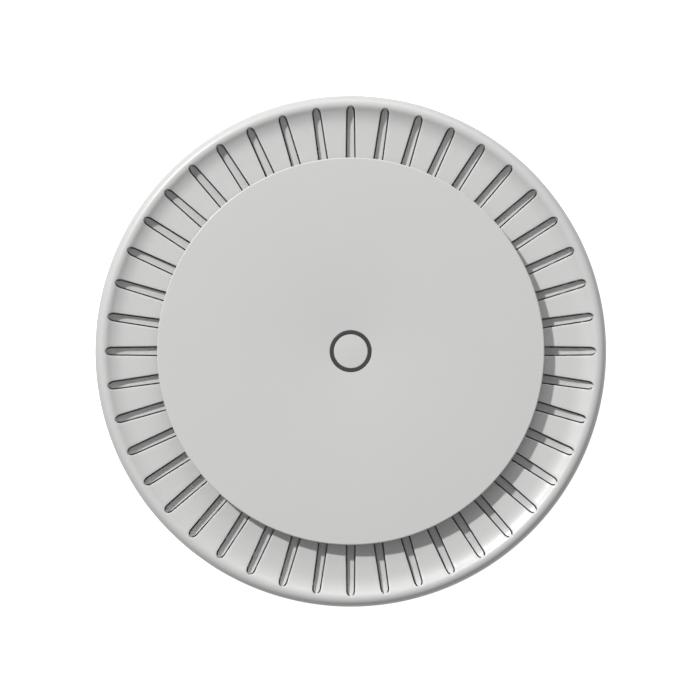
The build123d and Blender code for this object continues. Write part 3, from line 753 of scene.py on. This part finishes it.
class ACCESSPOINT_OT_front_disc(Operator):
    """Build the front disc and its light ring"""

    bl_idname = "access_point.front_disc"
    bl_label = "Front Disc"

    def execute(self, context):
        sizes = context.scene.access_point_disc
        sheets = [lathe(disc_outline(sizes), 360)] + stake_sheets(context.scene.access_point_shell, sizes)
        disc = make_piece("front_disc_surface", sheets, "unit", finish_of("shell_plastic"))
        stand_in("front_disc")
        ring = make_piece("status_ring_surface", lens_sheets(sizes), "unit", finish_of("smoked_lens"))
        stand_in("status_ring_lens")
        return {"FINISHED"}


class ACCESSPOINT_OT_frame_finishes(Operator):
    """Give every carried-over frame node the finish of its slot"""

    bl_idname = "access_point.frame_finishes"
    bl_label = "Frame Finishes"

    def execute(self, context):
        for node_name, owner in frame["nodes"].items():
            owner.data.materials.clear()
            owner.data.materials.append(finish_of(SLOT_OF[node_name]))
        return {"FINISHED"}


class ACCESSPOINT_OT_stage(Operator):
    """Make the floor, the surround, the lights and the camera"""

    bl_idname = "access_point.stage"
    bl_label = "Stage"

    def execute(self, context):
        scene = context.scene
        settings = scene.access_point_stage
        self.make_floor(scene, settings)
        world = bpy.data.worlds.new("Studio surround")
        world.use_nodes = True
        world.node_tree.nodes["Background"].inputs["Strength"].default_value = settings.sky
        world.node_tree.nodes["Background"].inputs["Color"].default_value = (1, 1, 1, 1)
        scene.world = world
        key_way = (settings.shadow_x, settings.shadow_y, -1.0)
        self.make_light(scene, "Key light", key_way, settings.key_strength, settings.key_angle)
        fill_way = (settings.fill_x, settings.fill_y, -1.0)
        self.make_light(scene, "Soft fill", fill_way, settings.fill_strength, settings.fill_angle)
        up = (0.0, 0.0, 1.0)
        self.make_light(scene, "Floor bounce", up, settings.bounce_strength, settings.bounce_angle)
        scene.view_settings.view_transform = "Standard"
        self.make_camera(scene, settings)
        return {"FINISHED"}

    def make_light(self, scene, name, way, strength, angle):
        """A distant light that shines along a direction."""
        light = bpy.data.lights.new(name, "SUN")
        light.energy = strength
        light.angle = angle
        sun = bpy.data.objects.new(name, light)
        scene.collection.objects.link(sun)
        sun.rotation_euler = Vector(way).to_track_quat("-Z", "Y").to_euler()

    def make_floor(self, scene, settings):
        """A wide pale plane just under the object, seen only by the camera and only from above."""
        half, z = settings.floor_half, -settings.floor_gap
        mesh = bpy.data.meshes.new("floor")
        corners = [(-half, -half, z), (half, -half, z), (half, half, z), (-half, half, z)]
        mesh.from_pydata(corners, [], [(0, 1, 2, 3)])
        floor = bpy.data.objects.new("floor", mesh)
        scene.collection.objects.link(floor)
        material, tree, shader = material_base("Pale floor")
        shader.inputs["Base Color"].default_value = (*scene.access_point_finishes.floor, 1)
        shader.inputs["Roughness"].default_value = 0.9
        shader.inputs["Specular IOR Level"].default_value = 0.0
        glow = node(tree, "ShaderNodeEmission", {"Strength": settings.floor_glow})
        clear = node(tree, "ShaderNodeBsdfTransparent")
        path = node(tree, "ShaderNodeLightPath")
        faces = node(tree, "ShaderNodeNewGeometry")
        lit = node(tree, "ShaderNodeAddShader", {0: shader.outputs[0], 1: glow.outputs[0]})
        from_above = node(
            tree,
            "ShaderNodeMath",
            {0: path.outputs["Is Camera Ray"], 1: faces.outputs["Backfacing"]},
            operation="SUBTRACT",
            use_clamp=True,
        )
        one_way = node(
            tree, "ShaderNodeMixShader", {0: from_above.outputs[0], 1: clear.outputs[0], 2: lit.outputs[0]}
        )
        tree.links.new(one_way.outputs[0], tree.nodes["Material Output"].inputs["Surface"])
        mesh.materials.append(material)

    def make_camera(self, scene, settings):
        """A long lens straight above the disc, with +Y up in the picture."""
        data = bpy.data.cameras.new("Camera")
        data.lens = settings.lens
        data.clip_end = 20.0
        camera = bpy.data.objects.new("Camera", data)
        scene.collection.objects.link(camera)
        rim_z = float(rim_centre(scene.access_point_shell)[0])
        distance = settings.view_width * settings.lens / data.sensor_width
        camera.location = (settings.view_x, settings.view_y, rim_z + distance)
        scene.camera = camera


class ACCESSPOINT_PT_panel(Panel):
    """Steps that build the access point"""

    bl_idname = "ACCESSPOINT_PT_panel"
    bl_label = "Access Point"
    bl_space_type = "VIEW_3D"
    bl_region_type = "UI"
    bl_category = "Access Point"

    def draw(self, context):
        for step in STEPS:
            self.layout.operator(step.bl_idname)


STEPS = (
    ACCESSPOINT_OT_frame_finishes,
    ACCESSPOINT_OT_front_shell,
    ACCESSPOINT_OT_louvre_ring,
    ACCESSPOINT_OT_front_disc,
    ACCESSPOINT_OT_stage,
)
GROUPS = {
    "access_point_shell": ShellSizes,
    "access_point_louvre": LouvreSizes,
    "access_point_disc": DiscSizes,
    "access_point_finishes": Finishes,
    "access_point_stage": StageSettings,
}


def register():
    for group in GROUPS.values():
        bpy.utils.register_class(group)
    for key, group in GROUPS.items():
        setattr(bpy.types.Scene, key, PointerProperty(type=group))
    for step in STEPS:
        bpy.utils.register_class(step)
    bpy.utils.register_class(ACCESSPOINT_PT_panel)


def unregister():
    bpy.utils.unregister_class(ACCESSPOINT_PT_panel)
    for step in reversed(STEPS):
        bpy.utils.unregister_class(step)
    for key in GROUPS:
        delattr(bpy.types.Scene, key)
    for group in reversed(GROUPS.values()):
        bpy.utils.unregister_class(group)


def main():
    """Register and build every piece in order."""
    register()
    for step in STEPS:
        group, name = step.bl_idname.split(".")
        getattr(getattr(bpy.ops, group), name)()


if __name__ == "__main__":
    main()
